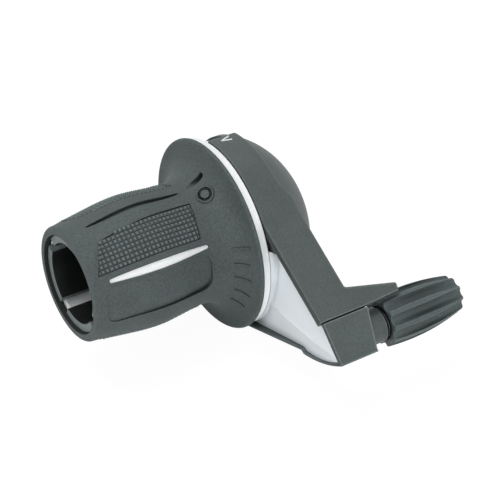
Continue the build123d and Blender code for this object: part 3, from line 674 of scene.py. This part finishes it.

# %% [markdown]
# ## Ridge of the side panel
# The silver panel is folded along a low ridge, and a thin line of light lies along it. A slim strip that
# narrows towards its ends is projected onto the fold, in a paler silver that is a painted highlight. A
# bright line in the panel's finish would do from afar, but the strip also stands proud, as the ridge does.

# %% Lay the painted highlight on the ridge
RIDGE_HUB = Vector((0, -26.8 * MM, -9.92 * MM))
RIDGE_TIP = Vector((0, -52.0 * MM, -8.15 * MM))
RIDGE_WIDTH = 0.55 * MM
RIDGE_RISE = 0.06 * MM
RIDGE_LIFT = 10 * MM
RIDGE_TAPER = 4
ridge_run = RIDGE_TIP - RIDGE_HUB
ridge = flat_grid("panel_ridge", columns=24, rows=2, length=ridge_run.length, width=RIDGE_WIDTH)
for vertex in ridge.data.vertices:
    vertex.co.y *= 1 - (2 * vertex.co.x / ridge_run.length) ** RIDGE_TAPER
lift(ridge, RIDGE_LIFT)
ridge.location = (RIDGE_HUB + RIDGE_TIP) / 2
ridge.rotation_euler = turn_to(ridge_run.normalized(), OUTBOARD)
wrap_onto(ridge, "side_panel")
thicken(ridge, RIDGE_RISE, outward=True)
settle(ridge, ridge_highlight_silver, "housing")

# %% [markdown]
# ## Pointer mark
# A printed white chevron on the cover's band points at the indicator ring. Its two strokes are slim
# strips that are projected onto the band and given the thickness of a print. A mask in the cover's
# finish would do too, but a strip keeps a crisp edge however close the camera comes.

# %% Lay the pointer's two strokes on the cover
COVER_RADIUS = 27 * MM
STROKE_WIDTH = 0.55 * MM
STROKE_LIFT = 3 * MM
PRINT_THICKNESS = 0.05 * MM
POINTER_TIP = (5.3 * MM, 94.3)
POINTER_UPPER_END = (8.4 * MM, 97.0)
POINTER_LOWER_END = (8.1 * MM, 92.5)


def stroke(name, start, end):
    """A strip on the cover between two places, each given as (x, angle)."""
    middle_angle = (start[1] + end[1]) / 2
    arc = math.radians(end[1] - start[1]) * COVER_RADIUS
    run = Vector((end[0] - start[0], arc))
    strip = flat_grid(name, columns=8, rows=2, length=run.length, width=STROKE_WIDTH)
    strip.rotation_euler.z = math.atan2(run.y, run.x)
    strip.location = ((start[0] + end[0]) / 2, 0, COVER_RADIUS + STROKE_LIFT)
    only(strip)
    bpy.ops.object.transform_apply(location=True, rotation=True, scale=True)
    strip.rotation_euler.x = facing_turn(middle_angle)
    wrap_onto(strip, "top_cover")
    thicken(strip, PRINT_THICKNESS, outward=True)
    settle(strip, mark_white, "housing")


stroke("pointer_upper", POINTER_TIP, POINTER_UPPER_END)
stroke("pointer_lower", POINTER_TIP, POINTER_LOWER_END)

# %% [markdown]
# ## Gear numbers
# The drum behind the ring carries the gear numbers, which pass the window in the housing as the grip
# turns. The number beside the pointer, at the window's edge, is the gear in use. Text becomes a mesh
# first, and is then turned to lie on the drum, upright for the rider. It could be bent to the drum by a
# modifier, but at this size a flat figure leaves the drum by a few hundredths of a millimetre.

# %% Put the numbers on the drum
DRUM_RADIUS = 24.6 * MM
DRUM_MIDDLE = 4.35 * MM
FIGURE_HEIGHT = 3.4 * MM
GEARS = 7
FIRST_GEAR_ANGLE = 105
GEAR_STEP = 10


def gear_number(value, angle):
    bpy.ops.object.select_all(action="DESELECT")
    bpy.ops.object.text_add()
    figure = bpy.context.object
    figure.name = f"gear_number_{value}"
    figure.data.body = str(value)
    figure.data.size = FIGURE_HEIGHT
    figure.data.extrude = PRINT_THICKNESS
    figure.data.align_x = "CENTER"
    figure.data.align_y = "CENTER"
    bpy.ops.object.convert(target="MESH")
    figure.rotation_euler = turn_to(OUTBOARD, radial_at(angle))
    figure.location = Vector((DRUM_MIDDLE, 0, 0)) + radial_at(angle) * DRUM_RADIUS
    settle(figure, mark_black, "grip")


for gear in range(GEARS):
    gear_number(gear + 1, FIRST_GEAR_ANGLE + GEAR_STEP * gear)

# %% [markdown]
# ## Coil spring
# Inside the knob a coil spring pushes the click sleeve outwards, and it shortens when the sleeve slides
# back. A Screw modifier winds a ring of wire into the coil.
# A bevelled curve could draw it too, but the pitch of a screw follows straight from the CAD spring's box.

# %% Wind the coil spring
SPRING_WIRE = 0.6 * MM
SPRING_TURNS = 3
STEPS_PER_TURN = 32
WIRE_SIDES = 12
spring_low, spring_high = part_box("adjuster_spring")
spring_run = spring_high.x - spring_low.x
coil_radius = (spring_high.y - spring_low.y - SPRING_WIRE) / 2
bpy.ops.object.select_all(action="DESELECT")
bpy.ops.mesh.primitive_circle_add(vertices=WIRE_SIDES, radius=SPRING_WIRE / 2)
coil = bpy.context.object
coil.name = "adjuster_coil"
bpy.ops.object.mode_set(mode="EDIT")
bpy.ops.mesh.select_all(action="SELECT")
bpy.ops.transform.translate(value=(SPRING_WIRE / 2, coil_radius, 0))
bpy.ops.object.mode_set(mode="OBJECT")
winding = coil.modifiers.new("winding", "SCREW")
winding.axis = "X"
winding.screw_offset = (spring_run - SPRING_WIRE) / SPRING_TURNS
winding.iterations = SPRING_TURNS
winding.steps = STEPS_PER_TURN
winding.render_steps = STEPS_PER_TURN
bpy.ops.object.modifier_apply(modifier="winding")
print("coil length in mm:", round(spring_run / MM, 2))

# %% Close its ends and set it in place
bpy.ops.object.mode_set(mode="EDIT")
bpy.ops.mesh.select_all(action="SELECT")
bpy.ops.mesh.fill_holes(sides=0)
bpy.ops.mesh.normals_make_consistent(inside=False)
bpy.ops.object.mode_set(mode="OBJECT")
coil_middle = (spring_low + spring_high) / 2
coil.location = (spring_low.x, coil_middle.y, coil_middle.z)
settle(coil, black_steel, "housing")
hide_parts("adjuster_spring")
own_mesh(coil)

# %% [markdown]
# ## Studio
# The shifter lies on a pale floor. The main softbox hangs above and behind it, which leaves the surfaces
# that face the camera a little darker than their edges, and three small ones stand low on the left, on the
# right and in front. The world and the floor show white to the camera through Light Path, so that the
# light on the object itself stays at a plain level.

# %% World, with a white that only the camera and reflections see
WHITE = (1, 1, 1, 1)
DAYLIGHT = (0.93, 0.97, 1.0, 1)
AMBIENT_STRENGTH = 0.17
BACKDROP_STRENGTH = 1.0


def seen_white(tree, plain, white, share):
    """Mixes two shaders: rays that are seen get a share of the white one, and light uses the plain one."""
    path = tree.nodes.new("ShaderNodeLightPath")
    seen = path.outputs["Is Camera Ray"]
    for ray in ("Is Glossy Ray", "Is Transmission Ray"):
        either = tree.nodes.new("ShaderNodeMath")
        either.operation = "MAXIMUM"
        tree.links.new(seen, either.inputs[0])
        tree.links.new(path.outputs[ray], either.inputs[1])
        seen = either.outputs[0]
    switch = tree.nodes.new("ShaderNodeMixShader")
    tree.links.new(mapped(tree, seen, 0, 1, 0, share), switch.inputs["Fac"])
    tree.links.new(plain, switch.inputs[1])
    tree.links.new(white, switch.inputs[2])
    return switch.outputs["Shader"]


world = bpy.data.worlds.new("studio")
bpy.context.scene.world = world
world.use_nodes = True
sky = world.node_tree
ambient = sky.nodes["Background"]
ambient.inputs["Color"].default_value = DAYLIGHT
ambient.inputs["Strength"].default_value = AMBIENT_STRENGTH
backdrop = sky.nodes.new("ShaderNodeBackground")
backdrop.inputs["Color"].default_value = WHITE
backdrop.inputs["Strength"].default_value = BACKDROP_STRENGTH
lit_sky = seen_white(sky, ambient.outputs["Background"], backdrop.outputs["Background"], share=1.0)
sky.links.new(lit_sky, sky.nodes["World Output"].inputs["Surface"])
print("ambient light:", AMBIENT_STRENGTH)

# %% Floor
FLOOR_SIZE = 3
FLOOR_GAP = 0.2 * MM
FLOOR_COLOR = (0.95, 0.95, 0.95, 1)
FLOOR_GLOW = 1.06
FLOOR_GLOW_SHARE = 0.9
bpy.ops.object.select_all(action="DESELECT")
bpy.ops.mesh.primitive_plane_add(size=FLOOR_SIZE, location=(0, 0, cad_low.z - FLOOR_GAP))
floor = bpy.context.object
floor.name = "floor"
floor_paper, paper, matt = new_finish("floor paper")
matt.inputs["Base Color"].default_value = FLOOR_COLOR
matt.inputs["Roughness"].default_value = 1.0
matt.inputs["Specular IOR Level"].default_value = 0.0
glow = paper.nodes.new("ShaderNodeEmission")
glow.inputs["Color"].default_value = WHITE
glow.inputs["Strength"].default_value = FLOOR_GLOW
lit_paper = seen_white(paper, matt.outputs["BSDF"], glow.outputs["Emission"], share=FLOOR_GLOW_SHARE)
paper.links.new(lit_paper, paper.nodes["Material Output"].inputs["Surface"])
floor.data.materials.append(floor_paper)
print("floor at, in mm:", round(floor.location.z / MM, 1))

# %% Lights
def softbox(name, location, aim, size, power):
    """A square lamp, with its places and size in metres and its power in watts."""
    bpy.ops.object.light_add(type="AREA", location=location)
    lamp = bpy.context.object
    lamp.name = name
    lamp.data.size = size
    lamp.data.energy = power
    lamp.rotation_euler = (Vector(aim) - Vector(location)).to_track_quat("-Z", "Y").to_euler()


softbox("key", location=(-0.1, 0.25, 0.8), aim=(0, -0.02, 0), size=0.6, power=5.5)
softbox("left", location=(-0.65, -0.05, 0.25), aim=(0, 0, 0), size=0.4, power=1.6)
softbox("right", location=(0.6, -0.3, 0.2), aim=(0.02, -0.03, 0), size=0.3, power=1.2)
softbox("front", location=(-0.1, -0.65, 0.05), aim=(0, -0.02, 0), size=0.15, power=1.6)

# %% [markdown]
# ## Camera
# The camera stands in front of the shifter, to its left and above, as in the photograph, with a long
# lens. Its place comes from the outlines of the flange, the ring and the grip's open end.

# %% Place the camera
CAMERA_AZIMUTH = math.radians(-32.932)
CAMERA_ELEVATION = math.radians(34.946)
CAMERA_DISTANCE = 450 * MM
CAMERA_TO_RIGHT = 10.942 * MM
CAMERA_DOWN = 4.426 * MM
camera_data = bpy.data.cameras.new("camera")
camera_data.lens = 118.27
camera_data.sensor_width = 36
camera_data.clip_start = 10 * MM
camera = bpy.data.objects.new("camera", camera_data)
bpy.context.scene.collection.objects.link(camera)
back = Vector((
    math.sin(CAMERA_AZIMUTH) * math.cos(CAMERA_ELEVATION),
    -math.cos(CAMERA_AZIMUTH) * math.cos(CAMERA_ELEVATION),
    math.sin(CAMERA_ELEVATION),
))
right = Vector((math.cos(CAMERA_AZIMUTH), math.sin(CAMERA_AZIMUTH), 0))
up = back.cross(right)
camera.location = right * CAMERA_TO_RIGHT - up * CAMERA_DOWN + back * CAMERA_DISTANCE
camera.rotation_mode = "QUATERNION"
camera.rotation_quaternion = (-back).to_track_quat("-Z", "Y")
bpy.context.scene.camera = camera
bpy.context.scene.view_settings.view_transform = "Standard"
print("camera at", [round(part, 4) for part in camera.location])
